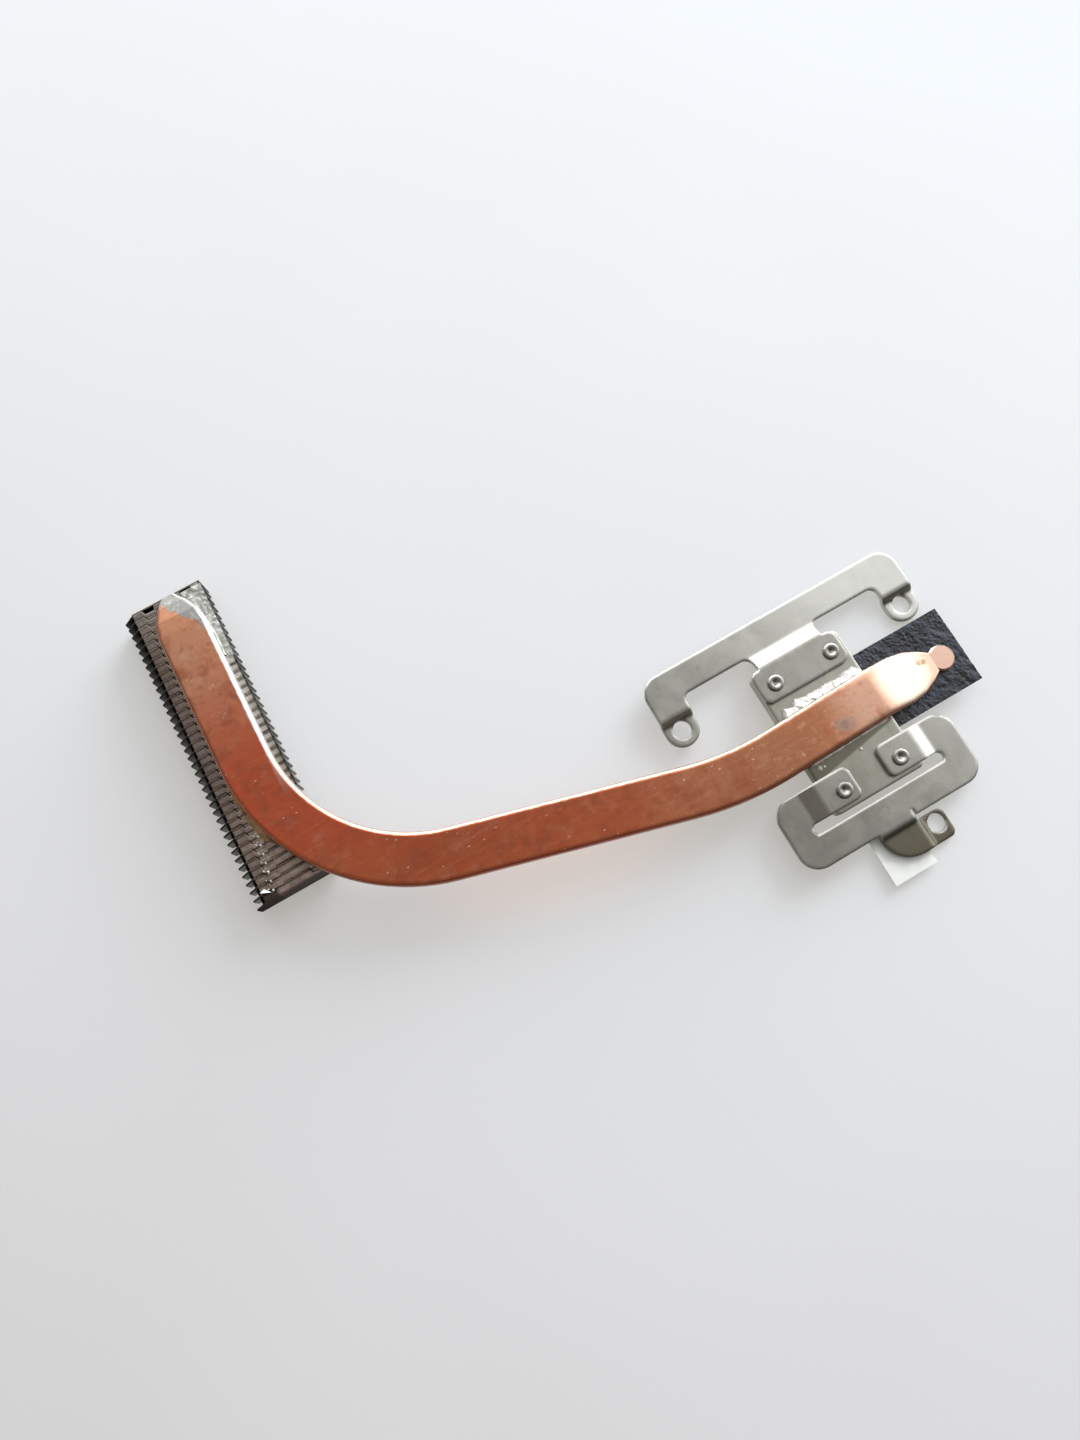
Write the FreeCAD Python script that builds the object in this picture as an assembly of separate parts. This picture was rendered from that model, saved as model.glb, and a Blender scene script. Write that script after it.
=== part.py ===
import FreeCAD, Part
import math
import os

# Heat pipe cooler: a flattened pipe carries heat from a cold plate to a stack of clipped fins.
# Millimetres. The origin is the middle of the cold plate's lower face, where the chip sits.
# X runs along the bracket arms, Y across them towards the two-eyed bracket, Z up.

# Cold plate
PLATE_X = 11.6
PLATE_Y = 18.4
PLATE_T = 1.5
PLATE_CORNER_R = 0.6

# Spring sheet of both brackets
SHEET_T = 0.6
BEND_R = 0.3
ARM_DROP = 1.0
STEP_GAP = 0.15

# Rivets that stake the brackets to the plate
RIVET_PITCH_X = 7.5
RIVET_INSET = 2.1
RIVET_SHANK_R = 0.7
RIVET_HEAD_R = 0.9
RIVET_HEAD_H = 0.35
RIVET_DEPTH = 1.0
RIVET_DIMPLE_R = 0.52
RIVET_DIMPLE_H = 0.45
RIVET_CLEARANCE = 0.05

# Upper bracket: an arm with two eyes and a raised foot on the plate
UPPER_SHIFT = -0.3
UPPER_STEP_RUN = 1.75
UPPER_LAND = 0.25
UPPER_ARM_W = 3.5
UPPER_ARM_R = 2.3
EYE_PITCH = 30.2
EYE_W = 4.0
EYE_HOLE_R = 1.1
EYE_REACH = 3.35
EYE_DROP = 0.8
EYE_BEND_RUN = 0.55
EYE_BEND_GAP = 0.15
WINDOW_R = 0.9
FOOT_X = 11.2
FOOT_Y = 4.1
FOOT_R = 1.0
NECK_X = 8.4
NECK_R = 0.25

# Lower bracket: a slotted arm with two raised fingers and a stepped tab with the third eye
LOWER_SHIFT = -0.2
FINGER_W = 4.0
FINGER_GAP = 3.85
FINGER_R = 0.9
FINGER_LAND = 0.5
FINGER_STEP_RUN = 1.6
SLOT_W = 1.15
SLOT_GAP = 0.65
SLOT_LAND = 0.8
LOWER_ARM_W = 3.55
LOWER_END_W = 3.05
LOWER_END_R = 2.4
TAB_W = 4.6
TAB_L = 4.1
TAB_R = 3.5
TAB_DROP = 0.6
TAB_BEND_RUN = 0.5
TAB_SHIFT = -0.3
TAB_SLIT_W = 0.3
TAB_SLIT_L = 0.7
TAB_EYE_DROP = 0.5
TAB_EYE_RUN = 0.45
TAB_EYE_X = 3.0
TAB_EYE_Y = 3.5
TAB_EYE_R = 0.8
TAB_HOLE_IN = 1.35

# Heat pipe: a round tube pressed flat, bent in plan at a knee and at a corner
PIPE_W = 6.0
PIPE_T = 2.0
PIPE_EDGE_R = 0.6
PIPE_TAIL = (5.3, 0.35)
PIPE_KNEE = (-13.7, -0.2)
PIPE_CORNER = (-60.6, 12.8)
PIPE_KNEE_R = 37.0
PIPE_CORNER_R = 20.6
PIPE_LEAN = 0.04
TAIL_TIP = (14.35, 0.15)
TAIL_LENGTH = 7.85
TAIL_FULL = 0.4
TAIL_END_W = 2.6
TAIL_END_T = 0.8
TAIL_DISC_R = 1.55
TAIL_DISC_T = 0.65
TAIL_DISC_EDGE = 0.2
END_LENGTH = 4.4
END_W = 1.9
END_T = 1.7
END_SHORT = 0.85
END_SHARES = (0.0, 0.4, 0.75, 1.0)
TAIL_SHARES = (0.0, 0.4, 0.65, 0.87, 1.0)

# Fin stack: folded sheet fins, each clipped to the next by lanced tabs
FIN_COUNT = 37
FIN_PITCH = 1.01
FIN_T = 0.2
FIN_H = 4.0
FIN_FLANGE_X = 8.6
FIN_FOLD = 0.2
FIN_TOE = 1.45
FIN_SLANT = 1.4
FIN_FOOT_INSET = 0.4
STACK_START_Y = 14.05
STACK_SIDE = 1.75
CLIP_INSET = 1.95
CLIP_ROOT = 1.4
CLIP_TIP = 1.0
CLIP_L = 0.5
CLIP_GAP = 0.05

# Solder beside the pipe on the plate
SOLDER_REACH = 0.75
SOLDER_GAP = 0.15
SOLDER_RAG = 0.3
SOLDER_H = 1.3
SOLDER_LIP = 0.2
SOLDER_END = 0.35
FILLET_REACH = 0.6
FILLET_H = 0.8

# Insulating films
FILM_T = 0.1
BLACK_FILM_X = 11.45
BLACK_FILM_LOW = -4.15
BLACK_FILM_HIGH = 5.5
BLACK_FILM_GAP = 0.05
WHITE_FILM_X = 5.5
WHITE_FILM_OUT = 1.55
WHITE_FILM_UNDER = 1.9
WHITE_FILM_SIDE = 1.2

# Levels and lines that several pieces share
PLATE_EDGE = PLATE_Y / 2
RIVET_Y = PLATE_EDGE - RIVET_INSET
ARM_Z = PLATE_T - ARM_DROP
EYE_Z = ARM_Z - EYE_DROP
TAB_Z = ARM_Z - TAB_DROP
TAB_EYE_Z = TAB_Z - TAB_EYE_DROP
FOOT_EDGE = PLATE_EDGE + STEP_GAP
FOOT_LOW = FOOT_EDGE - FOOT_Y
WINDOW_Y = FOOT_EDGE + UPPER_STEP_RUN + UPPER_LAND
EYE_Y = WINDOW_Y - EYE_REACH
SLOT_LOW = -PLATE_EDGE - SLOT_GAP
SLOT_HIGH = SLOT_LOW + SLOT_W
FINGER_HIGH = SLOT_HIGH + FINGER_W
LOWER_LOW = SLOT_LOW - LOWER_ARM_W
TAB_LEFT = LOWER_SHIFT + TAB_SHIFT - TAB_W / 2
TAB_RIGHT = TAB_LEFT + TAB_W
TAB_LOW = LOWER_LOW - TAB_L
STACK_END_Y = STACK_START_Y + FIN_COUNT * FIN_PITCH
CUT = PLATE_Y


def xy(z):
    return lambda u, v: FreeCAD.Vector(u, v, z)


def yz(x):
    return lambda u, v: FreeCAD.Vector(x, u, v)


def xz(y):
    return lambda u, v: FreeCAD.Vector(u, y, v)


def outline(corners, place):
    """Closed face through corners (u, v) or (u, v, radius), each radius made by a tangent arc."""
    count = len(corners)
    ends = []
    for i in range(count):
        here = FreeCAD.Vector(corners[i][0], corners[i][1], 0)
        radius = corners[i][2] if len(corners[i]) > 2 else 0.0
        before = FreeCAD.Vector(corners[i - 1][0], corners[i - 1][1], 0)
        after = FreeCAD.Vector(corners[(i + 1) % count][0], corners[(i + 1) % count][1], 0)
        back = (before - here).normalize()
        on = (after - here).normalize()
        half = back.getAngle(on) / 2
        if radius == 0.0 or half > 1.5705:
            ends.append((here, None, here))
            continue
        reach = radius / math.tan(half)
        centre = here + (back + on).normalize() * (radius / math.sin(half))
        middle = centre + (here - centre).normalize() * radius
        ends.append((here + back * reach, middle, here + on * reach))
    edges = []
    for i in range(count):
        start, middle, end = [p and place(p.x, p.y) for p in ends[i]]
        following = ends[(i + 1) % count][0]
        following = place(following.x, following.y)
        if middle:
            edges.append(Part.Arc(start, middle, end).toShape())
        if end.distanceToPoint(following) > 1e-6:
            edges.append(Part.makeLine(end, following))
    return Part.Face(Part.Wire(edges))


def bent_sheet(path, thickness, radius):
    """Corners of a sheet's section: its lower side follows path, and each bend has an inner radius."""
    upper = []
    lower = []
    count = len(path)
    for i in range(count):
        here = FreeCAD.Vector(path[i][0], path[i][1], 0)
        first = max(i - 1, 0)
        last = min(i + 1, count - 1)
        into = (here - FreeCAD.Vector(path[first][0], path[first][1], 0)) if i else None
        out = (FreeCAD.Vector(path[last][0], path[last][1], 0) - here) if i < count - 1 else None
        into = (into or out).normalize()
        out = (out or into).normalize()
        side = FreeCAD.Vector(-into.y - out.y, into.x + out.x, 0).normalize()
        stretch = thickness / side.dot(FreeCAD.Vector(-into.y, into.x, 0))
        top = here + side * stretch
        turn = into.x * out.y - into.y * out.x
        if abs(turn) < 1e-9:
            radii = (0.0, 0.0)
        elif turn > 0:
            radii = (radius + thickness, radius)
        else:
            radii = (radius, radius + thickness)
        lower.append((here.x, here.y, radii[0]))
        upper.append((top.x, top.y, radii[1]))
    return lower + upper[::-1]


def prism(corners, low, high):
    return outline(corners, xy(low)).extrude(FreeCAD.Vector(0, 0, high - low))


def rivet_places():
    half = RIVET_PITCH_X / 2
    return [(-half, RIVET_Y), (half, RIVET_Y), (-half, -RIVET_Y), (half, -RIVET_Y)]


def cold_plate():
    x = PLATE_X / 2
    corners = [(a * x, b * PLATE_EDGE, PLATE_CORNER_R) for a, b in ((-1, -1), (1, -1), (1, 1), (-1, 1))]
    plate = prism(corners, 0, PLATE_T)
    for px, py in rivet_places():
        foot = FreeCAD.Vector(px, py, PLATE_T - RIVET_DEPTH)
        plate = plate.cut(Part.makeCylinder(RIVET_SHANK_R, RIVET_DEPTH, foot))
    return plate


def rivets():
    """Four staked rivets: a shank in the plate and a dimpled head on the sheet."""
    low = PLATE_T - RIVET_DEPTH
    seat = PLATE_T + SHEET_T
    top = seat + RIVET_HEAD_H
    section = [(0, low), (RIVET_SHANK_R, low), (RIVET_SHANK_R, seat), (RIVET_HEAD_R, seat)]
    section += [(RIVET_HEAD_R, top), (RIVET_DIMPLE_R, top), (0, top - RIVET_DIMPLE_H)]
    rivet = outline(section, xz(0)).revolve(FreeCAD.Vector(0, 0, 0), FreeCAD.Vector(0, 0, 1), 360)
    group = []
    for px, py in rivet_places():
        one = rivet.copy()
        one.translate(FreeCAD.Vector(px, py, 0))
        group.append(one)
    return Part.makeCompound(group)


def drill(sheet, places, radius):
    for px, py in places:
        sheet = sheet.cut(Part.makeCylinder(radius, 2 * CUT, FreeCAD.Vector(px, py, -CUT)))
    return sheet


def upper_bracket():
    """One sheet: the arm, two legs bent down to the eyes, and the foot stepped up onto the plate."""
    top = WINDOW_Y + UPPER_ARM_W
    low = EYE_Y - EYE_W / 2
    right = EYE_PITCH / 2 + EYE_W / 2
    inner = right - EYE_W
    eye_r = EYE_W / 2
    legs = [(-right, top, UPPER_ARM_R), (-right, low, eye_r)]
    legs += [(-inner, low, eye_r), (-inner, WINDOW_Y, WINDOW_R)]
    legs += [(-a, b, r) for a, b, r in legs[::-1]]
    bend = EYE_Y + EYE_HOLE_R + EYE_BEND_GAP
    path = [(low - 1, EYE_Z), (bend, EYE_Z), (bend + EYE_BEND_RUN, ARM_Z), (top + 1, ARM_Z)]
    length = 2 * right + 2
    sheet = outline(bent_sheet(path, SHEET_T, BEND_R), yz(-right - 1)).extrude(FreeCAD.Vector(length, 0, 0))
    frame = sheet.common(prism(legs, -CUT, CUT))

    neck = NECK_X / 2
    flare = neck + 2 * WINDOW_R
    foot = FOOT_X / 2
    shoulder = FOOT_EDGE
    half = [(flare, top - UPPER_ARM_W / 2), (flare, WINDOW_Y), (neck, WINDOW_Y, WINDOW_R)]
    half += [(neck, shoulder, NECK_R), (foot, shoulder, FOOT_R), (foot, FOOT_LOW, FOOT_R)]
    plan = half + [(-c[0],) + c[1:] for c in half[::-1]]
    step = WINDOW_Y - UPPER_LAND
    path = [(FOOT_LOW - 1, PLATE_T), (FOOT_EDGE, PLATE_T), (step, ARM_Z), (top, ARM_Z)]
    sheet = outline(bent_sheet(path, SHEET_T, BEND_R), yz(-right)).extrude(FreeCAD.Vector(2 * right, 0, 0))
    middle = sheet.common(prism(plan, -CUT, CUT))

    bracket = frame.fuse(middle).removeSplitter()
    bracket.translate(FreeCAD.Vector(UPPER_SHIFT, 0, 0))
    eyes = [(UPPER_SHIFT + a * EYE_PITCH / 2, EYE_Y) for a in (-1, 1)]
    bracket = drill(bracket, eyes, EYE_HOLE_R)
    return drill(bracket, rivet_places()[:2], RIVET_SHANK_R + RIVET_CLEARANCE)


def lower_bracket():
    """One sheet: the slotted arm, two fingers stepped up onto the plate, and the tab with the third eye."""
    land = PLATE_X / 2 + FINGER_LAND
    step = land + FINGER_STEP_RUN
    slot = step + SLOT_LAND
    end = slot + LOWER_END_W
    tip = FINGER_GAP / 2
    slot_r = SLOT_W / 2
    half = [(end, LOWER_LOW, LOWER_END_R), (end, FINGER_HIGH, LOWER_END_R), (tip, FINGER_HIGH, FINGER_R)]
    half += [(tip, SLOT_HIGH, FINGER_R), (slot, SLOT_HIGH, slot_r), (slot, SLOT_LOW, slot_r)]
    plan = prism(half + [(-a, b, r) for a, b, r in half[::-1]], -CUT, CUT)
    divide = (SLOT_LOW + SLOT_HIGH) / 2
    path = [(-end - 1, ARM_Z), (-step, ARM_Z), (-land, PLATE_T)]
    path += [(-x, z) for x, z in path[::-1]]
    sheet = outline(bent_sheet(path, SHEET_T, BEND_R), xz(divide))
    fingers = sheet.extrude(FreeCAD.Vector(0, FINGER_HIGH - divide + 1, 0)).common(plan)
    corner = FreeCAD.Vector(-end - 1, LOWER_LOW - 1, ARM_Z)
    arm = Part.makeBox(2 * end + 2, divide - LOWER_LOW + 1, SHEET_T, corner).common(plan)
    bracket = arm.fuse(fingers)
    bracket.translate(FreeCAD.Vector(LOWER_SHIFT, 0, 0))

    slit = FreeCAD.Vector(TAB_RIGHT, LOWER_LOW - CUT, -CUT)
    bracket = bracket.cut(Part.makeBox(TAB_SLIT_W, CUT + TAB_SLIT_L, 2 * CUT, slit))
    start = LOWER_LOW + BEND_R + SHEET_T
    path = [(TAB_LOW - 1, TAB_Z), (LOWER_LOW - TAB_BEND_RUN, TAB_Z), (LOWER_LOW, ARM_Z), (start, ARM_Z)]
    sheet = outline(bent_sheet(path, SHEET_T, BEND_R), yz(TAB_LEFT)).extrude(FreeCAD.Vector(TAB_W, 0, 0))
    shape = [(TAB_LEFT, start), (TAB_LEFT, TAB_LOW, TAB_R), (TAB_RIGHT, TAB_LOW), (TAB_RIGHT, start)]
    bracket = bracket.fuse(sheet.common(prism(shape, -CUT, CUT)))

    outer = TAB_RIGHT + TAB_EYE_RUN + TAB_EYE_X
    back = TAB_RIGHT - 2 * BEND_R
    path = [(back, TAB_Z), (TAB_RIGHT, TAB_Z), (TAB_RIGHT + TAB_EYE_RUN, TAB_EYE_Z), (outer + 1, TAB_EYE_Z)]
    high = TAB_LOW + TAB_EYE_Y
    sheet = outline(bent_sheet(path, SHEET_T, BEND_R), xz(TAB_LOW - 1))
    sheet = sheet.extrude(FreeCAD.Vector(0, TAB_EYE_Y + 2, 0))
    shape = [(back, TAB_LOW), (outer, TAB_LOW, TAB_EYE_R), (outer, high, TAB_EYE_R), (back, high)]
    bracket = bracket.fuse(sheet.common(prism(shape, -CUT, CUT))).removeSplitter()
    bracket = drill(bracket, [third_eye()], EYE_HOLE_R)
    return drill(bracket, rivet_places()[2:], RIVET_SHANK_R + RIVET_CLEARANCE)


def third_eye():
    outer = TAB_RIGHT + TAB_EYE_RUN + TAB_EYE_X
    return (outer - TAB_HOLE_IN, TAB_LOW + TAB_EYE_Y - TAB_HOLE_IN)


def flat_tube(width, thickness, at, along, low):
    """Section of the pressed tube, square to along in plan: flat sides, upper edges rounded, lower ones bevelled."""
    across = FreeCAD.Vector(-along.y, along.x, 0)
    radius = PIPE_EDGE_R * thickness / PIPE_T
    half = width / 2
    flat = half - radius
    turn = radius * (1 - math.sqrt(0.5))
    high = low + thickness

    def spot(u, z):
        return FreeCAD.Vector(at[0], at[1], z) + across * u

    def round_edge(start, middle, end):
        return Part.Arc(spot(*start), spot(*middle), spot(*end)).toShape()

    edges = [Part.makeLine(spot(-flat, low), spot(flat, low))]
    edges.append(Part.makeLine(spot(flat, low), spot(half, low + radius)))
    edges.append(Part.makeLine(spot(half, low + radius), spot(half, high - radius)))
    edges.append(round_edge((half, high - radius), (half - turn, high - turn), (flat, high)))
    edges.append(Part.makeLine(spot(flat, high), spot(-flat, high)))
    edges.append(round_edge((-flat, high), (turn - half, high - turn), (-half, high - radius)))
    edges.append(Part.makeLine(spot(-half, high - radius), spot(-half, low + radius)))
    edges.append(Part.makeLine(spot(-half, low + radius), spot(-flat, low)))
    return Part.Wire(edges)


def pipe_end():
    """Where the pipe's last straight run starts to narrow, and the way it points."""
    along = FreeCAD.Vector(PIPE_LEAN, 1, 0).normalize()
    rise = STACK_END_Y - END_SHORT - END_LENGTH - PIPE_CORNER[1]
    return (PIPE_CORNER[0] + PIPE_LEAN * rise, PIPE_CORNER[1] + rise), along


def turn_points(before, corner, after, radius):
    """Start, middle and end of the arc that rounds a corner of the pipe's route."""
    back = (before - corner).normalize()
    on = (after - corner).normalize()
    half = back.getAngle(on) / 2
    centre = corner + (back + on).normalize() * (radius / math.sin(half))
    middle = centre + (corner - centre).normalize() * radius
    reach = radius / math.tan(half)
    return corner + back * reach, middle, corner + on * reach


def heat_pipe():
    """The pressed tube on its bent route, its tapered closed end and its pinched, welded tail."""
    mid = PLATE_T + PIPE_T / 2
    end, end_along = pipe_end()
    route = [FreeCAD.Vector(p[0], p[1], mid) for p in (PIPE_TAIL, PIPE_KNEE, PIPE_CORNER, end)]
    knee = turn_points(route[0], route[1], route[2], PIPE_KNEE_R)
    corner = turn_points(route[1], route[2], route[3], PIPE_CORNER_R)
    edges = [Part.makeLine(route[0], knee[0]), Part.Arc(*knee).toShape(), Part.makeLine(knee[2], corner[0])]
    edges += [Part.Arc(*corner).toShape(), Part.makeLine(corner[2], route[3])]
    along = (route[0] - route[1]).normalize()
    section = flat_tube(PIPE_W, PIPE_T, PIPE_TAIL, along, PLATE_T)
    body = Part.Wire(edges).makePipeShell([section], True, False)

    closed = []
    for share in END_SHARES:
        width = PIPE_W - (PIPE_W - END_W) * share ** 2
        thick = PIPE_T - (PIPE_T - END_T) * share ** 2
        reach = END_LENGTH * share
        spot = (end[0] + end_along.x * reach, end[1] + end_along.y * reach)
        closed.append(flat_tube(width, thick, spot, end_along, PLATE_T))

    tip = FreeCAD.Vector(TAIL_TIP[0], TAIL_TIP[1], mid)
    tail_along = (tip - route[0]).normalize()
    tail = []
    for share in TAIL_SHARES:
        narrow = max(share - TAIL_FULL, 0) / (1 - TAIL_FULL)
        width = PIPE_W - (PIPE_W - TAIL_END_W) * narrow ** 2
        thick = PIPE_T - (PIPE_T - TAIL_END_T) * share
        spot = route[0] + tail_along * (TAIL_LENGTH * share)
        way = tail_along if share else along
        tail.append(flat_tube(width, thick, (spot.x, spot.y), way, PLATE_T))

    inner = TAIL_DISC_R - TAIL_DISC_EDGE
    top = PLATE_T + TAIL_DISC_T
    disc = [(0, PLATE_T), (inner, PLATE_T), (TAIL_DISC_R, PLATE_T + TAIL_DISC_EDGE)]
    disc += [(TAIL_DISC_R, top - TAIL_DISC_EDGE), (inner, top), (0, top)]
    disc = outline(disc, xz(0)).revolve(FreeCAD.Vector(0, 0, 0), FreeCAD.Vector(0, 0, 1), 360)
    disc.translate(FreeCAD.Vector(TAIL_TIP[0], TAIL_TIP[1], 0))
    ends = [Part.makeLoft(sections, True, True) for sections in (closed, tail)]
    return body.fuse(ends + [disc]).removeSplitter()


def clip(x, grow):
    """Plan of a clip tab that stands out of the fold at x, or with grow the notch that takes it."""
    root = CLIP_ROOT / 2 + grow
    tip = CLIP_TIP / 2 + grow
    far = -CLIP_L - grow
    left = [(x - tip, far), (x - root, 0), (x - root, FIN_FOLD)]
    return left + [(2 * x - a, b) for a, b in left[::-1]]


def toe_cut(sheet):
    """Slant the toe that a fin's wall has beyond its flanges, and end the top flange there."""
    top = FIN_H - FIN_FOLD
    over = FIN_H + 1
    toe = [(-1, top - FIN_SLANT - FIN_SLANT / FIN_TOE), (FIN_TOE, top), (FIN_TOE, over), (-1, over)]
    return sheet.cut(outline(toe, xz(-FIN_PITCH)).extrude(FreeCAD.Vector(0, 3 * FIN_PITCH, 0)))


def end_fin():
    """The plain wall that closes the far end of the stack."""
    return toe_cut(Part.makeBox(FIN_TOE + FIN_FLANGE_X, FIN_T, FIN_H))


def fin(clipped, reach):
    """One fin: a wall with a flange folded at its top and bottom, a slanted toe, notches and clip tabs."""
    width = FIN_TOE + FIN_FLANGE_X
    fold = FIN_FOLD
    under = FIN_H - FIN_T
    section = [(0, FIN_H - fold), (fold, FIN_H), (reach, FIN_H), (reach, under), (FIN_T, under)]
    section += [(y, FIN_H - z) for y, z in section[::-1]]
    sheet = outline(section, yz(0)).extrude(FreeCAD.Vector(width, 0, 0))

    top = FIN_H - fold
    over = FIN_H + 1
    sheet = toe_cut(sheet)
    for x in (-1, width - FIN_FOOT_INSET):
        corner = FreeCAD.Vector(x, FIN_T, -1)
        sheet = sheet.cut(Part.makeBox(1 + FIN_FOOT_INSET, reach, 1 + fold, corner))

    for x in (FIN_TOE + CLIP_INSET, width - CLIP_INSET):
        notch = prism(clip(x, CLIP_GAP), top, over)
        notch.translate(FreeCAD.Vector(0, reach, 0))
        sheet = sheet.cut(notch)
        if clipped:
            window = FreeCAD.Vector(x - CLIP_ROOT / 2, 0, top - CLIP_L)
            sheet = sheet.cut(Part.makeBox(CLIP_ROOT, fold, fold + CLIP_L, window))
            sheet = sheet.fuse(prism(clip(x, 0), under, FIN_H))
    return sheet.removeSplitter()


def stack_places():
    """Foot of each fin's wall, from the far end of the stack to the end by the pipe's corner."""
    left = PIPE_CORNER[0] - PIPE_W / 2 - STACK_SIDE - FIN_TOE
    places = []
    for i in range(FIN_COUNT):
        y = STACK_END_Y - (i + 1) * FIN_PITCH
        places.append((left + PIPE_LEAN * (y - STACK_START_Y), y))
    return places


def ragged(x0, x1, y, swing, inner):
    """Plan of a run of solder with an uneven outer edge: straight at inner, swinging about y."""
    steps = 16
    plan = [(x1, inner), (x0, inner)]
    for i in range(steps + 1):
        wave = 0.6 * math.sin(2.3 * i) + 0.4 * math.sin(4.7 * i + 1)
        plan.append((x0 + (x1 - x0) * i / steps, y + swing * wave))
    return plan


def plate_solder(pipe):
    """Solder on the plate: a ragged bank along the pipe's upper side, a small fillet along its lower."""
    x0 = -PLATE_X / 2 + SOLDER_END
    x1 = PLATE_X / 2 - SOLDER_END
    axis = PIPE_TAIL[1]
    side = axis + PIPE_W / 2
    reach = min(SOLDER_REACH, FOOT_LOW - SOLDER_GAP - SOLDER_RAG - side)
    bank = [(side - PIPE_T, PLATE_T), (side + reach + SOLDER_RAG, PLATE_T)]
    bank += [(side + reach + SOLDER_RAG, PLATE_T + SOLDER_LIP), (side - PIPE_T / 4, PLATE_T + SOLDER_H)]
    bank += [(side - PIPE_T, PLATE_T + SOLDER_H)]
    upper = outline(bank, yz(x0)).extrude(FreeCAD.Vector(x1 - x0, 0, 0))
    upper = upper.common(prism(ragged(x0, x1, side + reach, SOLDER_RAG, side - PIPE_T), -CUT, CUT)).cut(pipe)

    side = axis - PIPE_W / 2
    out = side - FILLET_REACH - SOLDER_RAG / 2
    bank = [(side + PIPE_T, PLATE_T), (out, PLATE_T), (out, PLATE_T + SOLDER_LIP / 2)]
    bank += [(side + PIPE_T / 4, PLATE_T + FILLET_H), (side + PIPE_T, PLATE_T + FILLET_H)]
    lower = outline(bank, yz(x0)).extrude(FreeCAD.Vector(x1 - x0, 0, 0))
    plan = ragged(x0, x1, side - FILLET_REACH, SOLDER_RAG / 2, side + PIPE_T)
    lower = lower.common(prism(plan, -CUT, CUT)).cut(pipe)
    keep = [max(bank.Solids, key=lambda s: s.Volume) for bank in (upper, lower)]
    return Part.makeCompound(keep)


def black_film():
    left = PLATE_X / 2 + BLACK_FILM_GAP
    corner = FreeCAD.Vector(left, BLACK_FILM_LOW, PLATE_T - FILM_T)
    return Part.makeBox(BLACK_FILM_X, BLACK_FILM_HIGH - BLACK_FILM_LOW, FILM_T, corner)


def white_film():
    left = TAB_LEFT - WHITE_FILM_SIDE
    width = min(WHITE_FILM_X, TAB_RIGHT - left)
    corner = FreeCAD.Vector(left, TAB_LOW - WHITE_FILM_OUT, TAB_Z - FILM_T)
    return Part.makeBox(width, WHITE_FILM_OUT + TAB_L + WHITE_FILM_UNDER, FILM_T, corner)


pipe = heat_pipe()
pieces = {"heat_pipe": pipe, "cold_plate": cold_plate(), "upper_bracket": upper_bracket()}
pieces["lower_bracket"] = lower_bracket()
pieces["rivets"] = rivets()
pieces["plate_solder"] = plate_solder(pipe)
pieces["black_film"] = black_film()
pieces["white_film"] = white_film()

places = stack_places()
shapes = {1: fin(True, FIN_PITCH - FIN_T), FIN_COUNT: fin(False, FIN_PITCH)}
inner_fin = fin(True, FIN_PITCH)
for number, (x, y) in enumerate(places, 1):
    placed = shapes.get(number, inner_fin).copy()
    placed.translate(FreeCAD.Vector(x, y, PLATE_T - FIN_H))
    pieces["fin_%02d" % number] = placed
pieces["fin_end"] = end_fin()
pieces["fin_end"].translate(FreeCAD.Vector(places[0][0], STACK_END_Y - FIN_T, PLATE_T - FIN_H))

os.makedirs("parts", exist_ok=True)
for name, shape in pieces.items():
    shape.exportStep("parts/%s.step" % name)
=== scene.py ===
import bpy
import math
from mathutils import Euler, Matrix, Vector, noise


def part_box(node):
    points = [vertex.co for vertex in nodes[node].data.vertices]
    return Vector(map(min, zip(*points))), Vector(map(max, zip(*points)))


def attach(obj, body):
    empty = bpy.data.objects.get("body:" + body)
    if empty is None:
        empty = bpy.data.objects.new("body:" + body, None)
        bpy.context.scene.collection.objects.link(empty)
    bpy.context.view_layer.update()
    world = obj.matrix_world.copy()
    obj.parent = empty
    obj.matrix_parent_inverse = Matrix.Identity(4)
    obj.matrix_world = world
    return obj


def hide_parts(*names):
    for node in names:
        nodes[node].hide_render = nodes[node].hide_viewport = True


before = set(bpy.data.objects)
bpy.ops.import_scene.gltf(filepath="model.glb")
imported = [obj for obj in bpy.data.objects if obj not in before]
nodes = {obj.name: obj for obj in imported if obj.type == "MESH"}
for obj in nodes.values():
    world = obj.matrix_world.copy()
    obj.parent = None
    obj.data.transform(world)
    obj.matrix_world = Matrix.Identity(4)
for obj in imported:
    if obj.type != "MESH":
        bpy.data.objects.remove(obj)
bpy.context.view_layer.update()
fins = sorted(name for name in nodes if name.startswith("fin_"))

# Lengths are in millimetres in the part's frame and become metres through MM
MM = 0.001

# Camera: the photograph's viewpoint
CAMERA_AT = (-42.27, -6.28, 121.42)
CAMERA_TURN = (12.54, 0.07, -29.98)
CAMERA_LENS = 27.05
CAMERA_SENSOR = 36.0
CAMERA_CLIP = 5.0

# The part lies on its fins and its eyes, so the floor slopes a little in the part's frame
FLOOR_AT = (-57.15, 0.0, -2.52)
FLOOR_SLOPE = 1.74
FLOOR_SIDE = 2400.0

# The floor grows brighter along a way, and its lit tone and its own faint glow have a tint each
FLOOR_WAY = (0.76, 0.65, 0.0)
FLOOR_REACH = (-60, 130)
FLOOR_TINT = (0.91, 0.96, 1.07)
FLOOR_GLOW_TINT = (1.01, 0.96, 0.85)
FLOOR_GLOW = 0.5

# A pool of warm light from the copper, painted on the floor along a line beside the pipe, in the
# floor's frame
WARM_AT = (21.4, 0.9, 0.0)
WARM_TURN = -15.0
WARM_REACH = (22.0, 6.5)
WARM_TINT = (1.17, 1.09, 1.06)

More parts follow.
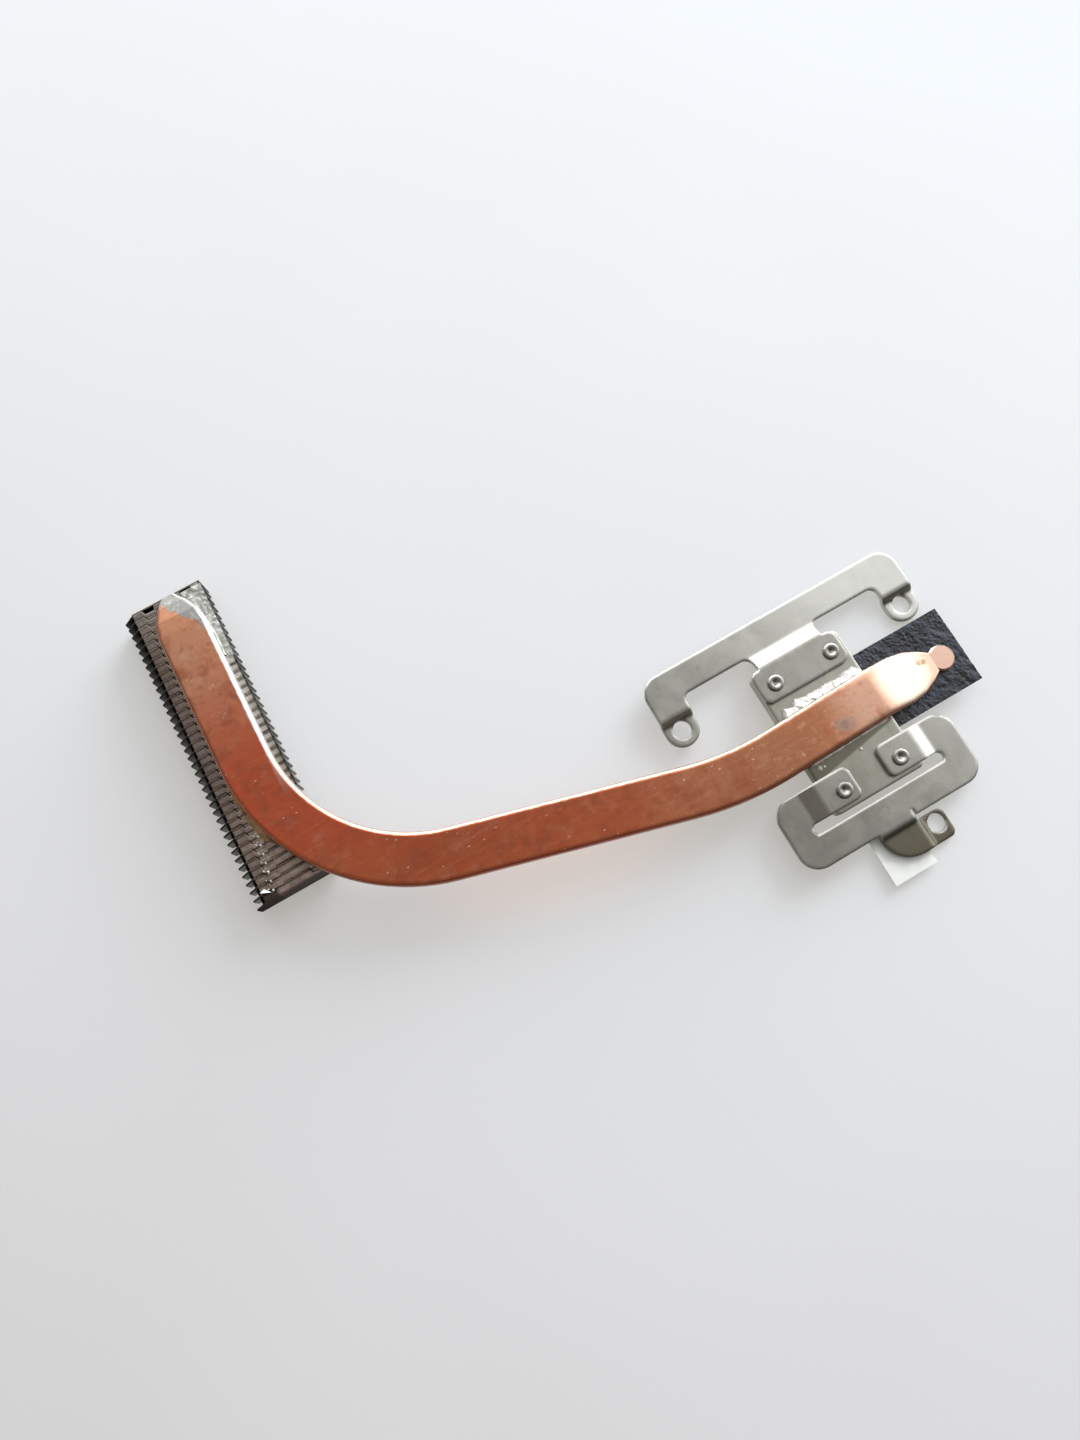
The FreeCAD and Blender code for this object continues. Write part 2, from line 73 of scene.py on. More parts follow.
# Light: a room that brightens towards a wide window, by the share of a direction that points its
# way, with a bright pane low in the room beside the window, and a soft lamp that gives the floor
# its shadow
WINDOW_AZIMUTH = 44.0
ROOM_LEVELS = (
    (-1.0, 0.32), (-0.2, 0.32), (0.0, 0.41), (0.18, 0.4), (0.24, 0.5),
    (0.29, 0.85), (0.36, 1.25), (0.5, 1.65), (1.0, 1.7),
)
ROOM_WARMTH = 0.06
PANE_AZIMUTH = 62.0
PANE_LEVEL = 6.0
PANE_SIDES = (0.45, 0.75)
PANE_FOOT = (0.03, 0.08)
PANE_HEAD = (0.25, 0.17)
LAMP_AZIMUTH = 28.0
LAMP_HEIGHT = 17.0
LAMP_SPREAD = 40.0
LAMP_LEVEL = 4.7

# Places on the part that several pieces and finishes use
PLATE_TOP = round(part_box("cold_plate")[1].z / MM, 3)
SINK = 0.02
PIPE_LEAN = 0.04
PIPE_LEFT = -63.6
PIPE_LEFT_Y = 12.8
PIPE_HALF = 3.0
PIPE_TAIL = (5.3, 0.35)
PIPE_SLOPE = 0.029
BEND_AT = (-39.4, 28.4)
BEND_R = 23.6
STACK_START = 14.05
FIN_PITCH = 1.01
FLANGE_LEFT = -65.35
FLANGE_RIGHT = -56.75

# Copper: spans in which its tone changes, along one axis
BEND_Y = (9, 20)
ROSY_X = (-34, -6)
PALE_X = (-2, 3)
FAR_Y = (26, 45)
SCUFFED_X = (-12, 0)
TAIL_X = (4.6, 7.0)
TAIL_ROUND_X = (1.0, 5.0)
TAIL_STOP_X = (12.6, 11.8)
TAIL_ROUND = 0.9
DISC_X = (12.6, 13.1)

# Copper: marks on the tail and the run; the tail has a painted highlight, and a dent in painted
# shade with a painted highlight on its lip
# Sides of the pipe that face this way, towards the window, get a painted highlight
HIGHLIGHT_WAY = (0.71, 0.71, 0.0)
SCRATCH_TURNS = (20, -35, 75)
GREY_STAIN = (-0.1, -0.9, 3.5)
STAIN_R = 0.6
STAIN_LOBES = ((-0.5, 0.3, 0.9), (0.1, 0.0, 1.0), (0.7, -0.2, 0.9))
TAIL_HIGHLIGHT = (8.7, 0.6, 3.0)
TAIL_HIGHLIGHT_R = 4.4
TAIL_DENT = (11.75, 0.85, 2.5)
DENT_R = 0.4
DENT_STEPS = (-0.4, -0.15, 0.1, 0.35)
DENT_SLOPE = -0.3
DENT_LIP = (-0.05, 0.08)
DENT_LIP_R = 0.3

# Tin on the pipe's closed end, with a slanted front, and a strip along its right side that is
# partly tin and partly a painted highlight, both measured from the pipe's centre line
TIN_SLANT = 1.25
TIN_FRONT = (48.2, 48.5)
TIN_LEFT = (-2.1, -1.7)
TIN_Y = (40, 42)
STRIP_EDGE = (2.35, 2.6)
STRIP_Y = (22, 32)

# Brackets: spans that are brighter or darker than the rest, mostly a painted reflection of the
# window that is lighter to the right, and painted shade on the tab
UPPER_Y = (3.0, 4.0)
ARM_Y = (9.6, 10.2)
ARM_ENDS = (8.0, 9.0)
ARM_X = (-12, 12)
LOWER_Y = (-3.0, -4.0)
LOWER_SHADE_X = (0, -10)
LOWER_SHEEN_X = (0, 12)
TAB_Y = (-13.6, -14.1)
STEEL_ROUND = 0.5

# Sheared edges of the lower bracket that catch the window: its slot's lower side and its upper side
SLOT_RIM = -9.85
SLOT_LEFT = (-9.0, -8.7)
SLOT_RIGHT = (8.4, 8.1)
UPPER_RIM = -4.7
RIM_WIDE = 0.2
RIM_FADE = 0.06
RIM_OVER = (0.1, 0.05)
RIM_LEAN = (0.0, 0.3, 0.95)

# Plate: a painted dark reflection of the pipe, in a wedge beside it that narrows to the right
WEDGE_OUT = 1.2
WEDGE_SLOPE = 0.14
WEDGE_EDGE = (-0.12, 0.2)
WEDGE_Y = (-1.0, -1.5)

# Fins: spans that are brighter or darker than the rest, the shares of the pitch with a painted
# highlight on a fin's fold and painted shade in the gap before the next fin, painted shade on the
# edge, toes and end wall, and on the first fin's bent corner
FIN_DARK_Y = (18, 30)
FIN_PALE_ACROSS = (-58.4, -57.6)
FIN_PALE_Y = (20, 40)
FIN_FAR_Y = (45, 50)
FIN_FOLD = (0.16, 0.06)
FIN_GAP = (0.66, 0.84)
FIN_EDGE_ACROSS = (FLANGE_RIGHT - 0.3, FLANGE_RIGHT - 0.15)
TOE_ACROSS = (FLANGE_LEFT + 0.1, FLANGE_LEFT - 0.2)
FIN_ROUND = 0.14
BENT_ACROSS = (-63.4, -63.8)
BENT_Y = (STACK_START + 1.1, STACK_START + 1.0)
END_WALL_Y = (STACK_START + 0.2, STACK_START + 0.1)

# Solder on the plate: banks that reach under the pipe's rounded sides and taper at their ends, and
# drops by place and radius
BANK_UNDER = 0.12
BANK_TAPER = 0.7
BANK_SHIFT = (0.3, 0.1)
DROP_FLAT = 0.7
PLATE_DROPS = (((-4.6, -3.62), 0.3), ((-4.05, -3.75), 0.17), ((0.6, -4.1), 0.24))

# Solder round the pipe's closed end: a bead along its edge, and a wash over the fins beside it
RIM_ROUTE = (
    (-58.55, 50.5), (-57.95, 49.45), (-57.35, 48.3), (-56.85, 47.1),
    (-56.5, 45.7), (-56.42, 44.0), (-56.52, 41.0),
)
RIM_Z = 2.95
RIM_R = 0.3
WASH_Y = (37.5, 51.0)
WASH_THICK_Y = 40.5
WASH_ROUND_Y = 47.5
WASH_T = 0.06
WASH_UNDER = 0.15
WASH_SHORT = 0.03

# Dried flux: how far it follows the bend, in degrees, and the straight end, in Y, and the steps of
# its route where it is widest, over which it narrows, and over which its ends taper
FLUX_TURN = 26
FLUX_END = 36.0
FLUX_WIDEST = 45
FLUX_NARROWS = 60
FLUX_TAPER = 30
FLUX_WIDE = 0.25
FLUX_WIDER = 0.7
FLUX_LEAST = 0.08
FLUX_UNDER = 0.1
FLUX_H = 0.7

# Beads on the clips of the first fins, in two rows that drift to the right, and the bent corner,
# whose tilt is its slope along X and along Y
BEADS = 15
BEAD_AT = (-63.95, 15)
BEAD_DRIFT = 0.2
BEAD_SHARE = 0.9
BEAD_R = 0.15
SECOND_BEAD = (-0.42, 0.3)
SECOND_SHARE = 0.7
GLINT_AT = (-64.75, 15.25)
GLINT_LONG = 0.62
GLINT_WIDE = 0.26
GLINT_WAY = (0.96, -0.28)
GLINT_TILT = (-0.216, -0.207)
GLINT_RISE = 0.19

# The black film's creases
CREASE_DEPTH = 0.2


class Nodes:
    """Short ways to add shader nodes to a tree."""

    def __init__(self, tree):
        self.tree = tree

    def feed(self, source, socket):
        if isinstance(source, bpy.types.NodeSocket):
            self.tree.links.new(source, socket)
        else:
            socket.default_value = source

    def node(self, kind, *sources, **settings):
        made = self.tree.nodes.new(kind)
        for key, value in settings.items():
            setattr(made, key, value)
        for slot, source in enumerate(sources):
            self.feed(source, made.inputs[slot])
        return made

    def math(self, operation, *values):
        return self.node("ShaderNodeMath", *values, operation=operation).outputs[0]

    def times(self, first, second):
        return self.math("MULTIPLY", first, second)

    def vector(self, operation, *values):
        """A sum of vectors that gives a vector."""
        made = self.node("ShaderNodeVectorMath", *values, operation=operation)
        return made.outputs["Vector"]

    def measure(self, operation, *values):
        """A sum of vectors that gives one value, such as a distance."""
        made = self.node("ShaderNodeVectorMath", *values, operation=operation)
        return made.outputs["Value"]

    def band(self, value, low, high, start=0.0, end=1.0, way="SMOOTHSTEP"):
        """Runs from start to end while value goes from low to high."""
        made = self.node("ShaderNodeMapRange", value, low, high, start, end, interpolation_type=way)
        return made.outputs[0]

    def mix(self, share, first, second):
        made = self.node("ShaderNodeMix", share, data_type="RGBA")
        self.feed(first, made.inputs[6])
        self.feed(second, made.inputs[7])
        return made.outputs[2]

    def mix_vectors(self, share, first, second):
        made = self.node("ShaderNodeMix", share, data_type="VECTOR")
        self.feed(first, made.inputs[4])
        self.feed(second, made.inputs[5])
        return made.outputs[1]

    def split(self, vector):
        return self.node("ShaderNodeSeparateXYZ", vector).outputs


class Finish(Nodes):
    """A material on the Principled shader, textured by place in millimetres."""

    def __init__(self, name, **sockets):
        self.material = bpy.data.materials.new(name)
        self.material.use_nodes = True
        super().__init__(self.material.node_tree)
        self.shader = self.tree.nodes["Principled BSDF"]
        for socket, value in sockets.items():
            self.paint(socket.replace("_", " "), value)
        coordinates = self.node("ShaderNodeTexCoord").outputs["Object"]
        self.place = self.vector("MULTIPLY", coordinates, (1 / MM, 1 / MM, 1 / MM))
        self.x, self.y = self.split(self.place)[:2]
        self.normal = None

    def paint(self, socket, source):
        self.feed(source, self.shader.inputs[socket])

    def rounded(self, radius):
        """The surface's normal as if its edges were rounded."""
        return self.node("ShaderNodeBevel", radius * MM, samples=6).outputs["Normal"]

    def stretched(self, scale, turn=0.0):
        turned = (0, 0, math.radians(turn))
        return self.node("ShaderNodeMapping", self.place, (0, 0, 0), turned, scale).outputs[0]

    def noise(self, scale, detail=4.0, rough=0.55, warp=0.0, place=None):
        made = self.node("ShaderNodeTexNoise", place or self.place)
        made.inputs["Scale"].default_value = scale
        made.inputs["Detail"].default_value = detail
        made.inputs["Roughness"].default_value = rough
        made.inputs["Distortion"].default_value = warp
        return made.outputs[0]

    def specks(self, scale, size, place=None):
        made = self.node("ShaderNodeTexVoronoi", place or self.place)
        made.inputs["Scale"].default_value = scale
        return self.band(made.outputs["Distance"], size, size * 0.5)

    def spot(self, centre, radius, ragged=0.0):
        """One inside radius of a place, zero outside, with an edge that noise makes uneven."""
        away = self.measure("DISTANCE", self.place, centre)
        if ragged:
            swing = self.times(self.math("SUBTRACT", self.noise(1.8, 5, 0.7), 0.5), ragged)
            away = self.math("ADD", away, swing)
        return self.band(away, radius, radius * 0.55)

    def shaded_normal(self):
        return self.normal or self.node("ShaderNodeNewGeometry").outputs["Normal"]

    def facing(self, way):
        """How far the surface, with its shaded edges, faces a way: one straight on, zero aside."""
        return self.measure("DOT_PRODUCT", self.shaded_normal(), way)

    def lean(self, share, way):
        """Turn the shaded normal towards a way by a share."""
        self.normal = self.mix_vectors(share, self.shaded_normal(), way)

    def across_stack(self):
        """X measured from the slightly leaning line of the fin stack."""
        lean = self.times(self.math("SUBTRACT", self.y, STACK_START), PIPE_LEAN)
        return self.math("SUBTRACT", self.x, lean)

    def bump(self, height, strength, depth):
        made = self.node("ShaderNodeBump")
        made.inputs["Strength"].default_value = strength
        made.inputs["Distance"].default_value = depth * MM
        self.feed(height, made.inputs["Height"])
        if self.normal:
            self.feed(self.normal, made.inputs["Normal"])
        self.paint("Normal", made.outputs["Normal"])


def rgb(red, green, blue):
    """A screen colour, 0 to 255, as the linear colour that a shader takes."""
    def linear(value):
        value /= 255
        return value / 12.92 if value <= 0.04045 else ((value + 0.055) / 1.055) ** 2.4
    return (linear(red), linear(green), linear(blue), 1.0)


def copper_base(finish, brushed, grain, dull):
    """Copper that turns from red at the bend to rosy on the run and pale at both ends."""
    cloud = finish.band(finish.noise(0.12, 5, 0.6, 0.3), 0.35, 0.65)
    red = finish.mix(cloud, rgb(207, 100, 62), rgb(216, 115, 75))
    tone = finish.mix(finish.band(finish.y, *BEND_Y, 0.0, 0.75), red, rgb(230, 103, 65))
    rosy = finish.mix(cloud, rgb(187, 122, 87), rgb(199, 137, 100))
    tone = finish.mix(finish.band(finish.x, *ROSY_X), tone, rosy)
    tone = finish.mix(finish.band(finish.x, *PALE_X, 0.0, 0.9), tone, rgb(226, 178, 152))
    far = finish.band(finish.y, *FAR_Y)
    tone = finish.mix(finish.times(far, 0.9), tone, rgb(238, 171, 133))
    tone = finish.mix(finish.band(brushed, 0.5, 0.72, 0.0, 0.2), tone, rgb(232, 164, 134))
    tone = finish.mix(finish.band(dull, 0.46, 0.66, 0.0, 0.6), tone, rgb(184, 98, 68))
    scuffed = finish.math("MAXIMUM", far, finish.band(finish.x, *SCUFFED_X, 0.22, 0.75))
    pale = finish.band(finish.noise(0.5, 6, 0.66, 0.3), 0.5, 0.7, 0.0, 0.6)
    tone = finish.mix(finish.times(pale, scuffed), tone, rgb(242, 190, 160))
    return finish.mix(finish.band(grain, 0.56, 0.74, 0.0, 0.35), tone, rgb(160, 88, 64))


def copper_wear(finish, tone):
    """Flecks and scratches, a painted highlight on the tail and on the side that faces the window,
    and painted shade on the sides that face away.
    """
    flecks = finish.specks(0.7, 0.14, finish.stretched((1, 2.4, 1), 25))
    sparse = finish.band(finish.noise(0.25, 2), 0.47, 0.58, 0.0, 0.8)
    tone = finish.mix(finish.times(flecks, sparse), tone, rgb(252, 216, 190))
    for turn in SCRATCH_TURNS:
        scratch = finish.noise(1.1, 2, 0.5, 0.0, finish.stretched((0.4, 7.0, 1), turn))
        scratch = finish.times(finish.band(scratch, 0.66, 0.74, 0.0, 0.5), sparse)
        tone = finish.mix(scratch, tone, rgb(240, 180, 146))
    # Painted highlight on the tail, palest at its centre
    tail_highlight = finish.spot(TAIL_HIGHLIGHT, TAIL_HIGHLIGHT_R, 0.8)
    tail_highlight = finish.mix(tail_highlight, rgb(232, 182, 156), rgb(247, 231, 208))
    tone = finish.mix(finish.band(finish.x, *TAIL_X), tone, tail_highlight)
    tone = finish.mix(finish.band(finish.x, *DISC_X), tone, rgb(227, 189, 169))
    # Painted shade on the sides that face away from the window
    front_shade = finish.band(finish.facing((0, -1, 0)), 0.25, 0.6, 0.0, 0.8)
    tone = finish.mix(front_shade, tone, rgb(122, 66, 46))
    left = finish.band(finish.facing((-1, 0, 0)), 0.25, 0.6, 0.0, 0.7)
    tone = finish.mix(left, tone, rgb(128, 76, 44))
    # Painted highlight, with a ragged edge, on the sides that face the window
    highlight_ragged = finish.noise(1.7, 5, 0.7, 0.0, finish.stretched((0.5, 1, 1), 15))
    highlight_ragged = finish.math("SUBTRACT", highlight_ragged, 0.5)
    side_highlight = finish.math("MULTIPLY_ADD", highlight_ragged, 0.5, finish.facing(HIGHLIGHT_WAY))
    return finish.mix(finish.band(side_highlight, 0.16, 0.32, 0.0, 0.85), tone, rgb(248, 226, 204))


def copper_tin(finish, tone):
    """Tin on the pipe's closed end, and a strip along its right side that is partly tin and partly
    a painted highlight, with ragged edges.
    """
    centre = finish.math("SUBTRACT", finish.across_stack(), PIPE_LEFT + PIPE_HALF)
    jagged = finish.times(finish.math("SUBTRACT", finish.noise(1.1, 5, 0.65), 0.5), 4.0)
    slant = finish.math("MULTIPLY_ADD", centre, TIN_SLANT, finish.math("ADD", finish.y, jagged))
    left = finish.band(finish.math("MULTIPLY_ADD", jagged, 0.15, centre), *TIN_LEFT)
    end = finish.times(finish.band(slant, *TIN_FRONT), left)
    end = finish.times(end, finish.band(finish.y, *TIN_Y))
    cloud = finish.band(finish.noise(1.3, 5, 0.7), 0.5, 0.75)
    tone = finish.mix(end, tone, finish.mix(cloud, rgb(184, 184, 180), rgb(230, 230, 226)))
    # A strip along the right side, partly tin and partly a painted highlight
    side = finish.band(finish.math("MULTIPLY_ADD", jagged, 0.12, centre), *STRIP_EDGE)
    side = finish.times(side, finish.band(finish.y, *STRIP_Y, 0.0, 0.9))
    return finish.mix(side, tone, rgb(238, 237, 232))


def copper_marks(finish, tone):
    """A grey stain on the run, and a dent in the tail in painted shade with a painted highlight on
    its lip.
    """
    x, y, z = GREY_STAIN
    for right, up, size in STAIN_LOBES:
        halo = finish.spot((x + right, y + up, z), size, 2.2)
        tone = finish.mix(finish.times(halo, 0.4), tone, rgb(176, 156, 144))
    core = finish.spot(GREY_STAIN, STAIN_R, 1.8)
    tone = finish.mix(finish.times(core, 0.35), tone, rgb(130, 112, 102))
    x, y, z = TAIL_DENT
    # Painted shade in the dent, and a painted highlight on its lip
    for along in DENT_STEPS:
        dent_shade = finish.spot((x + along, y + DENT_SLOPE * along, z), DENT_R, 0.3)
        tone = finish.mix(finish.times(dent_shade, 0.45), tone, rgb(134, 92, 62))
    lip_highlight = finish.spot((x + DENT_LIP[0], y + DENT_LIP[1], z), DENT_LIP_R)
    return finish.mix(finish.times(lip_highlight, 0.7), tone, rgb(240, 202, 168))


def copper_finish():
    finish = Finish("copper", Metallic=1.0, Coat_Weight=0.4, Coat_Roughness=0.2)
    brushed = finish.noise(1.0, 5, 0.6, 0.0, finish.stretched((0.25, 2.6, 1), 15))
    grain = finish.noise(1.5, 7, 0.65, 0.2)
    dull = finish.noise(0.45, 6, 0.66, 0.2)
    tone = copper_base(finish, brushed, grain, dull)
    for layer in (copper_wear, copper_tin, copper_marks):
        tone = layer(finish, tone)
    finish.paint("Base Color", tone)
    finish.paint("Roughness", finish.band(grain, 0.3, 0.75, 0.19, 0.27))
    tail = finish.times(finish.band(finish.x, *TAIL_ROUND_X), finish.band(finish.x, *TAIL_STOP_X))
    finish.lean(tail, finish.rounded(TAIL_ROUND))
    height = finish.math("ADD", finish.times(brushed, 0.5), finish.math("ADD", grain, dull))
    finish.bump(height, 0.14, 0.05)
    return finish.material


def painted_steel_edges(finish, tone, slope_highlight):
    """Painted highlights on sides that face the window, and painted shade on those that face away
    from it.
    """
    upper = finish.band(finish.facing((0, 1, 0)), 0.18, 0.45, 0.0, 0.85)
    tone = finish.mix(upper, tone, rgb(240, 240, 236))
    tone = finish.mix(slope_highlight, tone, rgb(240, 240, 236))
    # Painted shade on sides that face away from the window
    shade = finish.band(finish.facing((0, -1, 0)), 0.25, 0.6, 0.0, 0.85)
    return finish.mix(shade, tone, rgb(70, 68, 62))


def bracket_tone(finish, tone):
    """The upper bracket's arm in a painted reflection that is lighter to the right, its darker
    foot, and the lower one's two ends, in a painted reflection darker on the left and lighter on
    the right.
    """
    ends = finish.band(finish.math("ABSOLUTE", finish.x), *ARM_ENDS)
    above = finish.band(finish.y, *UPPER_Y)
    arm = finish.math("MAXIMUM", finish.times(above, ends), finish.band(finish.y, *ARM_Y))
    # Painted reflection of the window on the arm, lighter towards the right
    right = finish.band(finish.x, *ARM_X, 0.0, 0.7)
    tone = finish.mix(finish.times(arm, right), tone, rgb(212, 212, 207))
    foot = finish.math("SUBTRACT", above, arm)
    tone = finish.mix(finish.times(foot, 0.25), tone, rgb(140, 138, 130))
    # Painted reflection on the lower bracket: darker at its left end, lighter at its right
    below = finish.band(finish.y, *LOWER_Y)
    left = finish.band(finish.x, *LOWER_SHADE_X, 0.0, 0.36)
    tone = finish.mix(finish.times(below, left), tone, rgb(140, 136, 127))
    right = finish.band(finish.x, *LOWER_SHEEN_X, 0.0, 0.28)
    return finish.mix(finish.times(below, right), tone, rgb(206, 205, 198))


def lean_rims(finish):
    """Tilt the lower bracket's sheared edges so that they mirror the window."""
    def strip(edge):
        low = finish.band(finish.y, edge - RIM_WIDE - RIM_FADE, edge - RIM_WIDE)
        high = finish.band(finish.y, edge + RIM_OVER[0], edge + RIM_OVER[1])
        return finish.times(low, high)

    slot = finish.times(strip(SLOT_RIM), finish.band(finish.x, *SLOT_LEFT))
    slot = finish.times(slot, finish.band(finish.x, *SLOT_RIGHT))
    rims = finish.math("MAXIMUM", slot, strip(UPPER_RIM))
    flat = finish.band(finish.facing((0, 0, 1)), 0.5, 0.7)
    finish.lean(finish.times(rims, flat), RIM_LEAN)


def pipe_reflection_wedge(finish, tone):
    """A painted dark reflection of the pipe on the plate, beside the pipe's lower side."""
    side = PIPE_TAIL[1] - PIPE_HALF - PIPE_SLOPE * PIPE_TAIL[0] - WEDGE_OUT
    side = finish.math("MULTIPLY_ADD", finish.x, PIPE_SLOPE + WEDGE_SLOPE, side)
    near = finish.band(finish.math("SUBTRACT", finish.y, side), *WEDGE_EDGE, 0.0, 0.75)
    near = finish.times(near, finish.band(finish.y, *WEDGE_Y))
    return finish.mix(near, tone, rgb(100, 94, 78))


def steel_finish(name, dark, light, tab_shade=0.0):
    """Plated steel, with painted shade on a tab by a share on the brackets, and a painted dark
    reflection of the pipe elsewhere.
    """
    finish = Finish(name, Metallic=1.0)
    finish.normal = finish.rounded(STEEL_ROUND)
    cloud = finish.noise(0.22, 4, 0.6, 0.6)
    tone = finish.mix(finish.band(cloud, 0.32, 0.68), dark, light)
    smear = finish.noise(0.7, 5, 0.6, 0.8, finish.stretched((1, 0.35, 1), 20))
    tone = finish.mix(finish.band(smear, 0.58, 0.74, 0.0, 0.3), tone, rgb(124, 121, 112))
    # Painted highlight on slopes that face to the right, towards the window's side
    slope_highlight = finish.band(finish.facing((1, 0, 0)), 0.25, 0.55, 0.0, 0.75)
    if tab_shade:
        tone = bracket_tone(finish, tone)
        # Painted shade on the tab below the arm
        shaded_tab = finish.band(finish.y, *TAB_Y, 0.0, tab_shade)
        tone = finish.mix(shaded_tab, tone, rgb(114, 108, 92))
        slope_highlight = finish.times(slope_highlight, finish.math("SUBTRACT", 1.0, shaded_tab))
        lean_rims(finish)
    else:
        tone = pipe_reflection_wedge(finish, tone)
    finish.paint("Base Color", painted_steel_edges(finish, tone, slope_highlight))
    finish.paint("Roughness", finish.band(smear, 0.3, 0.7, 0.26, 0.32))
    lines = finish.noise(1.0, 4, 0.6, 0.0, finish.stretched((0.3, 14, 1)))
    finish.bump(lines, 0.08, 0.02)
    return finish.material


def fin_finish():
    """Brown plated fins, pale towards the far end, with painted highlights on their folds and
    painted shade in their gaps, toes, bent corner and end wall.
    """
    finish = Finish("fin")
    cloud = finish.noise(0.6, 5, 0.65)
    tone = finish.mix(finish.band(cloud, 0.3, 0.7), rgb(146, 127, 117), rgb(186, 168, 156))
    across = finish.across_stack()
    tone = finish.mix(finish.band(finish.y, *FIN_DARK_Y, 0.0, 0.7), tone, rgb(124, 110, 104))
    right = finish.band(finish.y, *FIN_PALE_Y, 0.3, 0.9)
    right = finish.times(finish.band(across, *FIN_PALE_ACROSS), right)
    tone = finish.mix(right, tone, rgb(212, 209, 202))

    step = finish.math("DIVIDE", finish.math("SUBTRACT", finish.y, STACK_START), FIN_PITCH)
    share = finish.math("FRACT", step)
    # Painted highlight on each fin's fold, and painted shade in the gap before the next fin
    tone = finish.mix(finish.band(share, *FIN_FOLD, 0.0, 0.5), tone, rgb(190, 182, 176))
    tone = finish.mix(finish.band(share, *FIN_GAP, 0.0, 0.75), tone, rgb(52, 44, 41))
    tone = finish.mix(finish.band(finish.y, *FIN_FAR_Y, 0.0, 0.5), tone, rgb(150, 145, 138))

    # Painted shade in the gaps along the flanges' right edge
    edge = finish.band(across, *FIN_EDGE_ACROSS, 0.0, 0.9)
    tone = finish.mix(edge, tone, rgb(42, 39, 36))
    flux = finish.band(finish.noise(0.9, 4, 0.6), 0.52, 0.68, 0.0, 0.35)
    tone = finish.mix(flux, tone, rgb(112, 98, 74))
    # Painted shade on the toes
    toe_shade = finish.band(finish.facing((0, 1, 0)), 0.8, 0.5)
    toe_shade = finish.times(finish.band(across, *TOE_ACROSS), toe_shade)
    tone = finish.mix(toe_shade, tone, rgb(34, 31, 28))
    # Painted shade on the first fin's bent corner
    bent_corner_shade = finish.times(finish.band(across, *BENT_ACROSS), finish.band(finish.y, *BENT_Y))
    tone = finish.mix(finish.times(bent_corner_shade, 0.8), tone, rgb(44, 33, 33))
    # Painted shade on the end wall, which is also made matt and not metal
    end_wall_shade = finish.band(finish.facing((0, -1, 0)), 0.4, 0.8)
    end_wall_shade = finish.times(end_wall_shade, finish.band(finish.y, *END_WALL_Y))
    tone = finish.mix(finish.times(end_wall_shade, 0.85), tone, rgb(62, 48, 42))

    finish.paint("Base Color", tone)
    finish.paint("Metallic", finish.math("SUBTRACT", 1.0, end_wall_shade))
    finish.paint("Specular IOR Level", finish.band(end_wall_shade, 0.0, 1.0, 0.5, 0.1))
    rough = finish.band(finish.noise(3, 4), 0.3, 0.7, 0.2, 0.4)
    finish.paint("Roughness", finish.math("MAXIMUM", rough, end_wall_shade))
    finish.normal = finish.rounded(FIN_ROUND)
    finish.bump(finish.noise(3.5, 5), 0.3, 0.05)
    return finish.material


def solder_finish(name, dark, light, metal):
    """Clouded solder, with a share of metal."""
    finish = Finish(name, Metallic=metal, Roughness=0.3)
    cloud = finish.noise(1.4, 5, 0.7)
    finish.paint("Base Color", finish.mix(finish.band(cloud, 0.35, 0.62), dark, light))
    finish.bump(finish.noise(3, 5, 0.7), 0.4, 0.08)
    return finish.material


def flux_finish():
    finish = Finish("flux", Roughness=0.22, Coat_Weight=0.3)
    cloud = finish.band(finish.noise(0.8, 4, 0.6), 0.35, 0.65)
    finish.paint("Base Color", finish.mix(cloud, rgb(92, 70, 40), rgb(168, 132, 76)))
    finish.bump(finish.noise(3, 4), 0.4, 0.06)
    return finish.material


def black_film_finish():
    finish = Finish("black_film", Coat_Weight=0.25, Coat_Roughness=0.2)
    cloud = finish.noise(0.7, 6, 0.65, 0.8, finish.stretched((1, 0.6, 1), 30))
    tone = finish.mix(finish.band(cloud, 0.4, 0.66), rgb(16, 18, 24), rgb(48, 56, 70))
    finish.paint("Base Color", tone)
    finish.paint("Roughness", finish.band(cloud, 0.3, 0.7, 0.2, 0.5))
    finish.bump(finish.noise(1.6, 6, 0.65, 1.0), 0.5, 0.12)
    return finish.material


def white_film_finish():
    finish = Finish("white_film", Roughness=0.42)
    cloud = finish.band(finish.noise(0.4, 3), 0.3, 0.7)
    finish.paint("Base Color", finish.mix(cloud, rgb(226, 230, 227), rgb(240, 243, 240)))
    return finish.material


